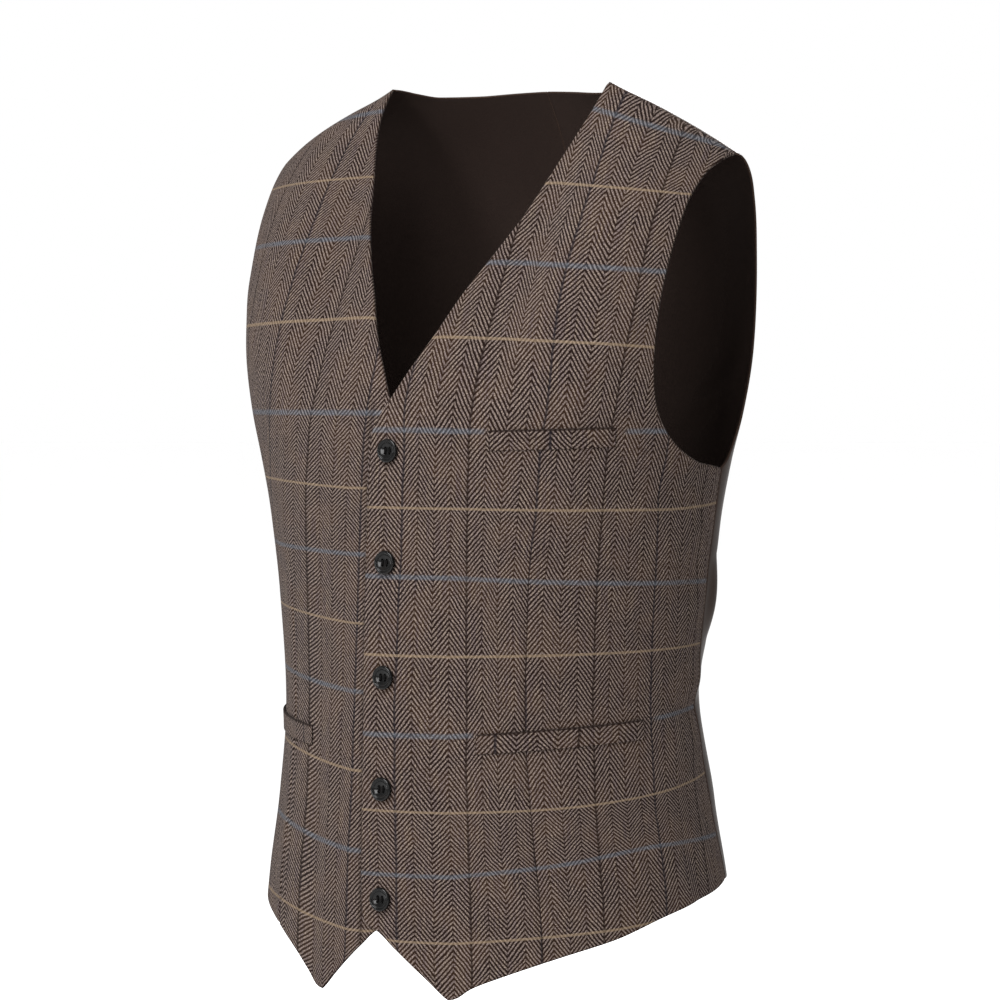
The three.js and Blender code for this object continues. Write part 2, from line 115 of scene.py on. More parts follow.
# Soft folds: wearer's side, angle and height of both ends, height of the ridge (or of the trough,
# below zero) and its breadth
FOLDS = [
    [1, 96, -300, 74, -318, 1.6, 8],
    [1, 100, -318, 82, -345, -1.5, 9],
    [1, 103, -345, 88, -372, 1.3, 9],
    [1, 112, -421, 84, -428, -2.6, 9],
    [1, 112, -404, 90, -406, 1.5, 10],
    [1, 108, -447, 78, -462, 1.4, 12],
    [1, 62, -268, 52, -330, -1.0, 12],
    [1, 50, -520, 62, -590, 1.3, 15],
    [1, 86, -500, 92, -560, -1.8, 14],
    [1, 60, -130, 44, -205, 1.1, 10],
    [-1, 96, -298, 76, -322, 1.5, 8],
    [-1, 101, -322, 84, -342, -1.6, 9],
    [-1, 112, -416, 82, -424, -2.4, 9],
    [-1, 110, -398, 92, -402, 1.4, 9],
    [-1, 106, -446, 74, -458, 1.5, 11],
    [-1, 60, -272, 50, -338, -1.1, 13],
    [-1, 88, -505, 92, -556, -1.7, 13],
    [-1, 62, -128, 46, -200, 1.0, 10],
    [1, 114, -322, 117, -378, 5.0, 19],
    [1, 104, -410, 130, -412, -3.3, 30],
    [-1, 114, -326, 118, -374, 4.0, 18],
    [1, 122, -402, 158, -392, -3.0, 10],
    [1, 128, -430, 160, -420, 2.6, 10],
    [1, 122, -458, 164, -464, -2.6, 12],
    [1, 126, -240, 150, -306, 3.0, 12],
    [1, 128, -186, 160, -236, -2.6, 12],
    [1, 168, -430, 172, -540, -2.2, 13],
    [1, 140, -480, 146, -540, 2.4, 13],
    [-1, 120, -398, 156, -404, -3.1, 10],
    [-1, 117, -424, 162, -433, 2.4, 10],
    [-1, 122, -464, 158, -456, -2.3, 12],
    [-1, 125, -236, 152, -312, 2.8, 12],
    [-1, 127, -182, 158, -228, -2.5, 11],
    [-1, 166, -452, 170, -538, 2.2, 12],
    [-1, 138, -486, 142, -540, 2.3, 13],
]

ROW_ANGLES_LEFT = [20, 45, 75, 105]
ROWS_LEFT = [
    [-578.5, -572, -564, -556], [-534.2, -525.5, -514, -512], [-491.6, -488.3, -480.3, -469.5],
    [-440.5, -436, -430, -424], [-387, -385.5, -383.5, -381], [-334.2, -336.5, -338.2, -339],
    [-288.1, -288.6, -288.7, -285], [-236.5, -236.2, -235.8, -235], [-174.5, -177.5, -182, -185],
    [-124, -128, -133, -138], [-69.7, -75.7, -83, -90], [-17.6, -38.5, -58, -66],
]
ROW_SPACING = 50
# Rise of the twill across the cloth, and how much finer it is on the right front
TWILL_TILT = 0.08
TWILL_FINER_RIGHT = 1.2
CHECK_START_LEFT = 18
LINE_SPACING = 44
# How much broader the columns are between the buttoned edge and the first line
EDGE_BROADER = 0.24
# Drift of the check's upright lines on each front: height, then how far each line, from the
# buttoned edge to the side, stands from its even place
DRIFT_LEFT = np.array([
    [-610, 0, 8.4, 13.3, 14.0, 17.2, 18],
    [-551, -0.7, 7.0, 11.2, 11.2, 14.2, 15],
    [-518, -1.4, 5.6, 6.3, 8.4, 10.5, 11],
    [-484, -2.8, 4.2, 3.5, 5.6, 6.0, 5],
    [-458, -3.5, 2.8, 2.1, 4.2, 4.5, 2],
    [-417, -4.2, 2.8, 1.4, 2.8, 2.2, 2],
    [-384, -2.8, 2.1, 0.7, 3.5, 2.2, 3],
    [-350, -2.1, 2.1, 0, 3.5, 2.5, 3],
    [-317, -0.7, 2.1, 2.1, 4.2, 2.0, 1],
    [-283, -0.7, 2.1, 5.6, 7.0, 2.2, 0],
    [-250, 0, 2.8, 8.4, 9.8, 8.4, 8],
    [-216, -3.5, 2.1, 11.2, 15.4, 12, 12],
    [-140, -1.4, 2.1, 8.4, 18.2, 20, 20],
    [-75, 0, 2.1, 9.1, 16.8, 20, 20],
    [-20, 0, 2.1, 5.0, 12.6, 16, 16],
])
DRIFT_RIGHT = np.array([
    [-610, 9, 10.9, 32, 44],
    [-551, 7, 9, 32, 46],
    [-518, 6, 8.1, 30, 45],
    [-484, 4, 6.6, 28, 43],
    [-417, 2, 6.6, 28, 43],
    [-350, 0, 7.4, 28, 42],
    [-283, -1, 8.6, 24, 34],
    [-250, -2, 6.8, 17, 24],
    [-200, -1, 5.7, 10, 14],
    [-140, 0, 5, 6, 8],
    [-20, 0, 0, 0, 0],
])
# Pocket welts: wearer's side, angles of both ends, heights of the upper edge there, how far the
# ends lean, and how far round from the centre front the strip has a line of the check. The blue row
# that meets a pocket is hidden in its mouth.
WELTS = [
    {
        "name": "chest_welt", "side": 1, "from": 23, "to": 56, "z": (-235.6, -232.8), "lean": 1.1,
        "line": 121.8,
    },
    {
        "name": "left_welt", "side": 1, "from": 27.6, "to": 73.8, "z": (-438.5, -429.4), "lean": 0,
        "line": 84.4,
    },
    {
        "name": "right_welt", "side": -1, "from": 27.6, "to": 73.8, "z": (-438.5, -429.4), "lean": 0,
        "line": 83,
    },
]
# Height to each side of a pocket's mouth in which the blue row is left out, and its soft end
BARE_H, BARE_EASE = 14, 4


def through(x, y):
    """Monotone cubic through points: between two of them the Hermite cubic on both values, whose
    slopes are harmonic means of the neighbouring rises, or 0 where the rise changes sign."""
    x, y = np.asarray(x, float), np.asarray(y, float)
    step = np.diff(x)
    rise = np.diff(y) / step
    before, after = 2 * step[1:] + step[:-1], step[1:] + 2 * step[:-1]
    same = rise[:-1] * rise[1:] > 0
    first, second = np.where(same, rise[:-1], 1), np.where(same, rise[1:], 1)
    middle = np.where(same, (before + after) / (before / first + after / second), 0)
    slope = np.concatenate([rise[:1], middle, rise[-1:]])

    def curve(at):
        at = np.clip(at, x[0], x[-1])
        k = np.clip(np.searchsorted(x, at) - 1, 0, len(x) - 2)
        t = (at - x[k]) / step[k]
        value = (2 * t**3 - 3 * t**2 + 1) * y[k] + (t**3 - 2 * t**2 + t) * step[k] * slope[k]
        return value + (3 * t**2 - 2 * t**3) * y[k + 1] + (t**3 - t**2) * step[k] * slope[k + 1]

    return curve


def smooth(t):
    """3c^2 - 2c^3, where c is t kept between 0 and 1."""
    c = np.clip(t, 0, 1)
    return c * c * (3 - 2 * c)


def mix(a, b, t):
    """a at t = 0 and b at t = 1, straight between."""
    return a + (b - a) * t


half_width, depth_front, depth_behind, square_front, square_behind = (
    through(LEVELS[:, 0], LEVELS[:, k]) for k in range(1, 6)
)
ridge_line, ridge_y = (through(RIDGE[:, 0], RIDGE[:, k]) for k in (1, 2))
dart_line = through([row[0] for row in DART], [row[1] for row in DART])


def ridge_z(x, side):
    """Height of the ridge; the wearer's right shoulder is held a little higher."""
    raised = RIGHT_RAISE * smooth((x - RAISE_FROM) / (RAISE_TO - RAISE_FROM))
    return ridge_line(x) + np.where(side < 0, raised, 0)


def figure(at, z):
    """Point of the figure at an angle round it (0 front, 90 side, 180 back; the wearer's right is
    negative) and a height. A level is the superellipse x = w sin^(2/n), y = -d cos^(2/n); above the
    chest y closes to the ridge as (1 - t)^(1/p), t a soft ramp in front and a power behind."""
    side = np.where(at < 0, -1.0, 1.0)
    turn = np.radians(np.abs(at))
    front = np.abs(at) <= 90
    power = 2 / np.where(front, square_front(z), square_behind(z))
    x = half_width(z) * np.abs(np.sin(turn)) ** power
    depth = np.where(front, depth_front(z), depth_behind(z))
    y = -np.sign(np.cos(turn)) * depth * np.abs(np.cos(turn)) ** power
    out = smooth((x - CLOSE_FROM) / (CLOSE_TO - CLOSE_FROM))
    height = np.maximum(z - CHEST_Z, 0)
    full = ridge_z(x, side) - CHEST_Z
    soft = mix(CHEST_CLOSE["soft_neck"], CHEST_CLOSE["soft_arm"], out)
    rounded = (np.hypot(height, soft) - soft) / (np.hypot(full, soft) - soft)
    left = np.clip(1 - np.where(front, rounded, (height / full) ** BACK_CLOSE["rise"]), 0, 1)
    chest_power = mix(CHEST_CLOSE["power_neck"], CHEST_CLOSE["power_arm"], out)
    back_power = mix(BACK_CLOSE["power_neck"], BACK_CLOSE["power_arm"], out)
    y = mix(ridge_y(x), y, left ** (1 / np.where(front, chest_power, back_power)))
    return np.stack([side * x, y, z + 0 * x], -1)


def angle_at(x, z, behind=False):
    """Angle at which a level reaches a distance from the middle plane: asin((x / w)^(n/2))."""
    power = (square_behind(z) if behind else square_front(z)) / 2
    angle = np.degrees(np.arcsin(np.minimum(np.abs(x) / half_width(z), 1) ** power))
    return np.where(np.asarray(x) < 0, -1, 1) * (180 - angle if behind else angle)


def unit(vectors):
    """Vectors divided by their lengths."""
    return vectors / np.maximum(np.linalg.norm(vectors, axis=-1, keepdims=True), 1e-9)


def outward(at, z):
    """Outward normal: the cross product of a step round and a step up the figure. Near the ridge it
    turns to the mean of the chest's and the back's, so that a wall keeps its thickness."""
    x = np.abs(figure(at, z)[..., 0])
    side = np.where(at < 0, -1.0, 1.0)
    head = ridge_z(x, side) - z
    low = np.minimum(z, z + head - RIDGE_EASE)

    def normal(angle):
        across = figure(angle + 0.4, low) - figure(angle - 0.4, low)
        return unit(np.cross(across, figure(angle, low + 1) - figure(angle, low - 1)))

    other = side * np.where(np.abs(at) > 90, angle_at(x, low), angle_at(x, low, True))
    share = smooth(1 - head / RIDGE_BLEND)[..., None]
    return unit(normal(at) + share * normal(other))


def folds(side, at, z):
    """Height of the soft folds off the figure: each is h exp(-(d / w)^2), d the distance to its line
    in the chart, and fades towards both ends as 1/4 + 3/4 sin(pi t)."""
    total = np.zeros_like(z)
    for own, at_0, z_0, at_1, z_1, high, wide in FOLDS:
        if own != side:
            continue
        run = np.array([(at_1 - at_0) * MM_PER_DEGREE, z_1 - z_0])
        here = np.stack([(at - at_0) * MM_PER_DEGREE, z - z_0], -1)
        t = np.clip(here @ run / (run @ run), 0, 1)
        away = np.linalg.norm(here - t[..., None] * run, axis=-1)
        total += high * np.exp(-((away / wide) ** 2)) * (0.25 + 0.75 * np.sin(np.pi * t))
    return total


def edge(points):
    """Edge through chart points, as a function of the share of its length from 0 to 1, and the
    share at which each point lies."""
    points = np.array(points, float)
    steps = np.diff(points, axis=0) * [MM_PER_DEGREE, 1]
    share = np.concatenate([[0], np.cumsum(np.hypot(*steps.T))])
    share /= share[-1]
    at, z = through(share, points[:, 0]), through(share, points[:, 1])
    return (lambda t: np.stack([at(t), z(t)], -1)), share


def straight(start, end):
    """Straight line in the chart."""
    start, end = np.array(start, float), np.array(end, float)
    return lambda t: mix(start, end, np.asarray(t)[:, None])


def patch(bottom, top, left, right, u, v):
    """Coons patch in the chart: the ruled patch between bottom and top, plus the one between left
    and right, less the one between the four corners."""
    low, high, near, far = bottom(u), top(u), left(v), right(v)
    s, t = u[None, :, None], v[:, None, None]
    ruled = mix(low[None], high[None], t) + mix(near[:, None], far[:, None], s)
    return ruled - mix(mix(low[0], low[-1], s), mix(high[0], high[-1], s), t)


def stretch_in(grid, inset):
    """Moves the rim of a grid of points inwards in its own surface: each point goes by the inset
    times 1 - d / reach, d being its distance from that rim along the grid. Returns the grid."""
    reach = 6.0
    moved = grid.copy()
    for turned in (False, True):
        rows = grid.transpose(1, 0, 2) if turned else grid
        steps = np.linalg.norm(np.diff(rows, axis=1), axis=-1)
        for flipped in (False, True):
            line = rows[:, ::-1] if flipped else rows
            gaps = steps[:, ::-1] if flipped else steps
            along = np.gradient(line[:, 0], axis=0)
            inwards = line[:, 3] - line[:, 0]
            inwards -= np.sum(inwards * unit(along), -1, keepdims=True) * unit(along)
            far = np.concatenate([np.zeros((len(gaps), 1)), np.cumsum(gaps, axis=1)], axis=1)
            push = unit(inwards)[:, None] * (inset * np.clip(1 - far / reach, 0, 1))[..., None]
            push = push[:, ::-1] if flipped else push
            moved += push.transpose(1, 0, 2) if turned else push
    return moved


ROLL_STEPS = 5


def wall(name, side, chart, raised, thick, marks, finishes, lined=None, seam=0.0):
    """Wall of cloth with rolled edges. The middle surface is the figure moved out by
    raised + folds - thick / 2; the outer and inner faces lie thick / 2 off it, and the rim between
    them is the half circle thick / 2 (cos a n + sin a o), o pointing out of the cloth's edge. The
    weave's places go on over the rim, by the arc a thick / 2."""
    at, z = chart[..., 0], chart[..., 1]
    thick = np.broadcast_to(thick, z.shape)
    normal = outward(side * at, z)
    off = raised + folds(side, at, z) - thick / 2
    middle = figure(side * at, z) + normal * off[..., None]
    middle = stretch_in(middle, thick.max() / 2 + seam)
    rows, columns = z.shape
    index = np.arange(rows * columns).reshape(rows, columns)
    loop = np.concatenate([index[0, :-1], index[:-1, -1], index[-1, :0:-1], index[:0:-1, 0]])
    flat_middle, flat_normal = middle.reshape(-1, 3), normal.reshape(-1, 3)
    half = (thick / 2).reshape(-1, 1)
    rim = flat_middle[loop]
    tangent = unit(np.roll(rim, -1, axis=0) - np.roll(rim, 1, axis=0))
    out = side * unit(np.cross(tangent, flat_normal[loop]))
    turns = np.pi * np.arange(1, ROLL_STEPS + 1) / (ROLL_STEPS + 1)
    rolled = [
        rim + half[loop] * (np.cos(a) * flat_normal[loop] + np.sin(a) * out) for a in turns
    ]
    points = np.concatenate(
        [flat_middle + half * flat_normal, flat_middle - half * flat_normal, *rolled]
    )
    face = np.stack([index[:-1, :-1], index[:-1, 1:], index[1:, 1:], index[1:, :-1]], -1)
    face = face.reshape(-1, 4)
    count, around = rows * columns, len(loop)
    rings = [loop, *(2 * count + around * k + np.arange(around) for k in range(ROLL_STEPS))]
    rings.append(loop + count)
    quads = [face, face[:, ::-1] + count]
    for near, far in zip(rings, rings[1:]):
        quads.append(np.stack([far, np.roll(far, -1), np.roll(near, -1), near], -1))
    quads = np.concatenate(quads)
    quads = quads if side > 0 else quads[:, ::-1]
    picked = np.concatenate([np.arange(count), np.arange(count), np.tile(loop, ROLL_STEPS)])
    marks = {key: np.broadcast_to(value, z.shape).reshape(-1)[picked] for key, value in marks.items()}
    if marks:
        rolling = np.concatenate([np.zeros((2 * count, 3)), *(a * half[loop] * out for a in turns)])
        round_it = unit(figure(side * (at + 0.2), z) - figure(side * (at - 0.2), z)).reshape(-1, 3)
        up_it = unit(figure(side * at, z - 1) - figure(side * at, z - 3)).reshape(-1, 3)
        marks["across"] = marks["across"] + np.sum(rolling * round_it[picked], -1)
        climb = np.sum(rolling * up_it[picked], -1)
        marks["along"] = marks["along"] + climb
        marks["check"] = marks["check"] + climb / ROW_SPACING
        # Painted shade on the rolled edges: 0 on both faces, rising over the roll, for the shadow an
        # edge casts
        darker = np.repeat(np.minimum(1, 1.2 * turns), around)
        marks["rim"] = np.concatenate([np.zeros(2 * count), darker])
    slots = np.zeros(len(quads), int)
    if lined is not None:
        slots[len(face):2 * len(face)] = lined.reshape(-1)
    made = piece(name, points, quads.tolist(), finishes)
    made.data.polygons.foreach_set("material_index", slots.astype(np.int32))
    for key, values in marks.items():
        layer = made.data.attributes.new(key, "FLOAT", "POINT")
        layer.data.foreach_set("value", values.astype(np.float32))
    made.data.update()
    return made


def piece(name, points, faces, finishes):
    """Mesh object from points in millimetres and faces of any number of sides."""
    mesh = bpy.data.meshes.new(name)
    mesh.from_pydata((points * MM).tolist(), [], faces)
    for one in finishes:
        mesh.materials.append(one)
    mesh.polygons.foreach_set("use_smooth", np.ones(len(mesh.polygons), bool))
    made = bpy.data.objects.new(name, mesh)
    bpy.context.collection.objects.link(made)
    return made


def lift(at):
    """How far the left front is held off the figure by the right one under it: all of it from the
    edge to LAP_FLAT, fading by LAP_FADE."""
    x = np.where(at < 0, -1, 1) * np.abs(figure(at, CHEST_Z + 0 * at)[..., 0])
    return (TWEED_THICK + LAP_CLEAR) * (1 - smooth((x - LAP_FLAT) / (LAP_FADE - LAP_FLAT)))


# Net on which distances round the figure are summed: steps of angle and height, and its reach
ARC_TURN, ARC_RISE = 0.5, 5.0
ARC_ANGLES = np.arange(-30, 116, ARC_TURN)
ARC_HEIGHTS = np.arange(-625, 11, ARC_RISE)


def arcs(side, at, z):
    """Distance round the figure from the centre front along a level, summed over short steps and
    read off between them."""
    angles, heights = np.meshgrid(ARC_ANGLES, ARC_HEIGHTS)
    net = figure(side * angles, heights)
    first = np.zeros((len(ARC_HEIGHTS), 1))
    table = np.linalg.norm(np.diff(net, axis=1), axis=-1)
    table = np.concatenate([first, np.cumsum(table, axis=1)], axis=1)
    table -= table[:, [np.argmin(np.abs(ARC_ANGLES))]]
    i = np.clip((at - ARC_ANGLES[0]) / ARC_TURN, 0, len(ARC_ANGLES) - 1.001)
    j = np.clip((z - ARC_HEIGHTS[0]) / ARC_RISE, 0, len(ARC_HEIGHTS) - 1.001)
    i_0, j_0 = i.astype(int), j.astype(int)
    low = mix(table[j_0, i_0], table[j_0, i_0 + 1], i - i_0)
    high = mix(table[j_0 + 1, i_0], table[j_0 + 1, i_0 + 1], i - i_0)
    return mix(low, high, j - j_0)


def row_number(angles, rows, at, z):
    """Number of the check's row at a place: whole on a row, straight between two of them."""
    heights = [through(angles, row)(at) for row in rows]
    number = (np.minimum(z - heights[0], 0) + np.maximum(z - heights[-1], 0)) / ROW_SPACING
    for low, high in zip(heights, heights[1:]):
        number = number + np.clip((z - low) / (high - low), 0, 1)
    return number


def drifted(across, z, drift):
    """Distance across the cloth less the drift of the check's lines there, straight between two
    lines. Between the buttoned edge and the first line the columns are broader."""
    number = np.clip(across / LINE_SPACING, 0, drift.shape[1] - 2)
    total = 0 * across
    for k in range(drift.shape[1] - 1):
        share = np.clip(1 - np.abs(number - k), 0, 1)
        total = total + share * through(drift[:, 0], drift[:, k + 1])(z)
    return across - total - EDGE_BROADER * np.minimum(across - total, 0)


def tweed_marks(side, at, z, angles, rows, start):
    across = drifted(arcs(side, at, z) - start, z, DRIFT_LEFT if side > 0 else DRIFT_RIGHT)
    check = row_number(angles, rows, at, z)
    taken = DART_INTAKE * smooth((DART_POINT_Z - z) / (DART_POINT_Z - DART_FULL_Z))
    bare = 0 * z
    for row in WELTS:
        if row["side"] == side:
            t = (at - row["from"]) / (row["to"] - row["from"])
            ends = smooth((t + 0.03) / 0.03) * smooth((1.15 - t) / 0.1)
            bare = bare + ends * smooth((BARE_H - np.abs(z - mix(*row["z"], t))) / BARE_EASE)
    return {
        "across": across,
        "along": check * ROW_SPACING * (1 if side > 0 else TWILL_FINER_RIGHT)
        + side * TWILL_TILT * across,
        "check": check,
        "past_dart": (at - dart_line(z)) * MM_PER_DEGREE,
        "taken_in": taken,
        "bare": bare,
    }


# Columns of a front's grid to its tip, on to the dart and past it, rows below and above the
# underarm, and the power with which they crowd towards the dart and the chest
TIP_COLUMNS, DART_COLUMNS, PAST_COLUMNS = 26, 30, 66
BODY_ROWS, UPPER_ROWS = 120, 106
CROWD_TO_DART, CROWD = 1.5, 1.35


def front_chart(side, lap):
    """Chart places of a front's grid, in two patches that meet at a line from the V to the underarm.
    Columns crowd towards the dart, and one of them runs along it."""
    gap = SEAM_GAP / 2 / MM_PER_DEGREE

    def placed(rows):
        return [[float(angle_at(x, z)), z] for x, z in rows]

    turn_top = placed([[-row[0] * lap, VEE_Z + row[1] * lap] for row in VEE_TURN])
    turn_low = placed([[-row[0] * lap, APEX_Z + row[1] * lap] for row in APEX_TURN])
    seam = [[at - gap, z] for at, z in SIDE_SEAM]
    armhole = [list(row) for row in ARMHOLE_FRONT]
    armhole[0][0] -= gap
    hem_rows = [*turn_low, [0, APEX_Z], *CUTAWAY]
    tip_row = len(hem_rows) - 1
    hem_rows += [[at, z + (ride if side < 0 else 0)] for at, z, ride in HEM]
    hem_rows[-1][0] -= gap

    def shoulder(t):
        x = mix(NECK_X, TIP_X, np.asarray(t, float))
        height = ridge_z(x, side)
        return np.stack([angle_at(x, height), height], -1)

    hem, share = edge(hem_rows)
    heights = np.linspace(turn_low[0][1], turn_top[0][1], 7)
    buttoned, _ = edge(placed([[-lap, z] for z in heights]))
    neck, _ = edge([*turn_top, *placed(NECKLINE)])
    side_edge, _ = edge(seam)
    arm, _ = edge([*armhole, shoulder([1])[0]])
    chest = straight(turn_top[0], seam[-1])
    tip = share[tip_row]
    fine = np.linspace(tip, 1, 400)
    dart = fine[np.argmin(np.abs(hem(fine)[:, 0] - dart_line(DART[0][0])))]
    to_dart = mix(tip, dart, 1 - (1 - np.linspace(0, 1, DART_COLUMNS)) ** CROWD_TO_DART)
    past_dart = mix(dart, 1, np.linspace(0, 1, PAST_COLUMNS) ** CROWD)
    u = np.concatenate([np.linspace(0, tip, TIP_COLUMNS), to_dart[1:], past_dart[1:]])
    dart_column = TIP_COLUMNS + DART_COLUMNS - 2
    body = patch(hem, chest, buttoned, side_edge, u, np.linspace(0, 1, BODY_ROWS))
    v = 1 - (1 - np.linspace(0, 1, UPPER_ROWS)) ** CROWD
    upper = patch(chest, shoulder, neck, arm, u, v)
    near_dart = np.where(u <= dart, u / dart, (1 - u) / (1 - dart))
    pull = dart_line(body[:, dart_column, 1]) - body[:, dart_column, 0]
    body[..., 0] += pull[:, None] * smooth(near_dart)
    upper[..., 0] += (pull[-1] * (1 - v) ** 2)[:, None] * smooth(near_dart)
    return np.concatenate([body, upper[1:]])


# Columns of a front's inside that its facing covers
FACING_COLUMNS = 34
# Painted shade on the right front beside the left front's edge: distance from the centre front,
# breadth to each side, and how dark it is
UNDER_EDGE, UNDER_EDGE_W, UNDER_EDGE_PAINTED_SHADE = 14.2, 2.4, 0.75


def front(name, side, lap, raised, rows, angles, start):
    """Front from its chart, with the dart pressed in as a groove h exp(-(d / w)^2). The right front
    has a dark line of painted shade where the left one's edge lies over it."""
    chart = front_chart(side, lap)
    at, z = chart[..., 0], chart[..., 1]
    marks = tweed_marks(side, at, z, angles, rows, start)
    pressed = DART_GROOVE * smooth(marks["taken_in"] / DART_INTAKE)
    groove = pressed * np.exp(-((marks["past_dart"] / DART_GROOVE_W) ** 2))
    # On the right front a dark line is painted as the shade of the left front's edge
    if side < 0:
        under_edge = 1 - np.abs(arcs(side, at, z) - UNDER_EDGE) / UNDER_EDGE_W
        marks["painted_shadow"] = UNDER_EDGE_PAINTED_SHADE * smooth(under_edge) * (z < VEE_Z)
    lined = np.ones((z.shape[0] - 1, z.shape[1] - 1), int)
    lined[:, :FACING_COLUMNS] = 0
    made = wall(
        name, side, chart, raised(at) - groove, TWEED_THICK, marks, [tweed, lining], lined,
        -SEAM_CLOSED,
    )
    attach(made, "root")
    return made


def feed(tree, socket, value):
    """Puts a number, or a colour as a tuple of three, on a socket, or links an output to it."""
    if isinstance(value, tuple):
        socket.default_value = (*value, 1)
    elif isinstance(value, (int, float)):
        socket.default_value = value
    else:
        tree.links.new(value, socket)


def maths(tree, operation, *values):
    """One Math node on numbers and outputs."""
    node = tree.nodes.new("ShaderNodeMath")
    node.operation = operation
    for socket, value in zip(node.inputs, values):
        feed(tree, socket, value)
    return node.outputs[0]


def times(tree, a, b):
    """Product of two numbers or outputs."""
    return maths(tree, "MULTIPLY", a, b)


def mark(tree, name):
    """A number kept on the mesh's points."""
    node = tree.nodes.new("ShaderNodeAttribute")
    node.attribute_name = name
    return node.outputs["Fac"]


def vector(tree, x, y, z=0.0):
    """Three numbers as one vector."""
    node = tree.nodes.new("ShaderNodeCombineXYZ")
    for socket, value in zip(node.inputs, (x, y, z)):
        feed(tree, socket, value)
    return node.outputs[0]


def noise(tree, place, scale, detail=2.0):
    """Noise from 0 to 1 at a place."""
    node = tree.nodes.new("ShaderNodeTexNoise")
    node.inputs["Scale"].default_value = scale
    node.inputs["Detail"].default_value = detail
    tree.links.new(place, node.inputs["Vector"])
    return node.outputs["Fac"]


def ramp(tree, value, low, high, start=0.0, end=1.0):
    """Smooth step of a value from low to high, running from start to end."""
    node = tree.nodes.new("ShaderNodeMapRange")
    node.interpolation_type = "SMOOTHSTEP"
    tree.links.new(value, node.inputs["Value"])
    for name, number in (("From Min", low), ("From Max", high), ("To Min", start), ("To Max", end)):
        node.inputs[name].default_value = number
    return node.outputs["Result"]


def blended(tree, share, a, b):
    """Colour a where the share is 0 and b where it is 1."""
    node = tree.nodes.new("ShaderNodeMix")
    node.data_type = "RGBA"
    tree.links.new(share, node.inputs[0])
    feed(tree, node.inputs[6], a)
    feed(tree, node.inputs[7], b)
    return node.outputs[2]


def linear(red, green, blue):
    """Colour from the 0 to 255 values of a screen: ((c / 255 + 0.055) / 1.055)^2.4."""
    return tuple(((c / 255 + 0.055) / 1.055) ** 2.4 for c in (red, green, blue))


def finish(name, **sockets):
    """Material with a Principled shader whose sockets are set by name."""
    material = bpy.data.materials.new(name)
    material.use_nodes = True
    shader = material.node_tree.nodes["Principled BSDF"]
    for key, value in sockets.items():
        shader.inputs[key.replace("_", " ")].default_value = value
    return material, material.node_tree, shader


def bumped(tree, shader, height, strength, distance):
    """Bump of a height, a distance in metres."""
    node = tree.nodes.new("ShaderNodeBump")
    node.inputs["Strength"].default_value = strength
    node.inputs["Distance"].default_value = distance
    tree.links.new(height, node.inputs["Height"])
    tree.links.new(node.outputs["Normal"], shader.inputs["Normal"])


# Weave: herringbone columns, pitch of its twill up the cloth and rise of the twill in a column
COLUMN = 11
TWILL_PITCH = 3.75
TWILL_SLOPE = 1.4
# Noise that moves the twill: slow waver of its rows and columns, and shake of each stroke
ROW_WAVER, STROKE_SHAKE, COLUMN_WAVER = 2.2, 1.3, 1.4
# Bands of the check: distance from the middle where each is full and where it has ended
LINE_BAND, BLUE_BAND, GOLD_BAND = (0.4, 1.2), (0.6, 2.5), (0.55, 1.15)
LINE_STRENGTH = 0.62
DART_BAND, DART_STRENGTH = (0.2, 0.7), 0.7
# Strength of painted shade on rolled edges, and of painted shadow in pockets and under the left edge
RIM_PAINTED_SHADE, PAINTED_SHADOW_DARK = 0.6, 0.85
YARN_LIGHT = linear(100, 89, 81)
YARN_LIGHT_COOL = linear(87, 77, 75)
YARN_DARK = linear(17, 10, 8)
YARN_DARK_WARM = linear(28, 18, 12)
GOLD = linear(101, 87, 71)
BLUE = linear(70, 77, 85)
NAVY = linear(15, 14, 18)
UMBER = linear(17, 11, 9)


def twill(tree, across, along, place):
    """Share of light yarn from 0 to 1, and the distance across with its waver. The twill's phase is
    (along + slope * zigzag(across)) / pitch, and its strokes break where two columns meet."""
    uneven = maths(tree, "MULTIPLY_ADD", noise(tree, place, 0.09), ROW_WAVER, -ROW_WAVER / 2)
    shaken = maths(tree, "MULTIPLY_ADD", noise(tree, place, 0.9), STROKE_SHAKE, uneven)
    along_uneven = maths(tree, "ADD", along, shaken)
    waver = noise(tree, vector(tree, along, across), 0.11)
    waver = maths(tree, "MULTIPLY_ADD", waver, COLUMN_WAVER, -COLUMN_WAVER / 2)
    across_uneven = maths(tree, "ADD", across, waver)
    zigzag = maths(tree, "PINGPONG", maths(tree, "ADD", across_uneven, COLUMN), COLUMN)
    phase = maths(tree, "MULTIPLY_ADD", zigzag, TWILL_SLOPE, along_uneven)
    wave = maths(tree, "SINE", times(tree, phase, 2 * np.pi / TWILL_PITCH))
    stripe = ramp(tree, wave, -0.45, 0.75)
    nearest = maths(tree, "MINIMUM", zigzag, maths(tree, "SUBTRACT", COLUMN, zigzag))
    stripe = times(tree, stripe, ramp(tree, nearest, 0.15, 0.7, 0.55, 1.0))
    speckle = ramp(tree, noise(tree, place, 1.3, 2.0), 0.36, 0.64, 0.25, 1.2)
    return times(tree, stripe, speckle), across_uneven


def yarn_colour(tree, across, along, place, light_share):
    """Light and dark yarn, each between two shades, with a darker tint on some of the picks."""
    slow_along = times(tree, along, 0.03)
    warps = noise(tree, vector(tree, times(tree, across, 1.3), slow_along), 1.0)
    picks = noise(tree, vector(tree, times(tree, across, 0.04), along), 1.0)
    patches = noise(tree, place, 0.035)
    light = blended(tree, ramp(tree, warps, 0.38, 0.62), YARN_LIGHT, YARN_LIGHT_COOL)
    dark = blended(tree, ramp(tree, patches, 0.4, 0.65), YARN_DARK, YARN_DARK_WARM)
    colour = blended(tree, light_share, dark, light)
    tinted = times(tree, ramp(tree, picks, 0.5, 0.72), 0.25)
    return blended(tree, tinted, colour, YARN_DARK_WARM)


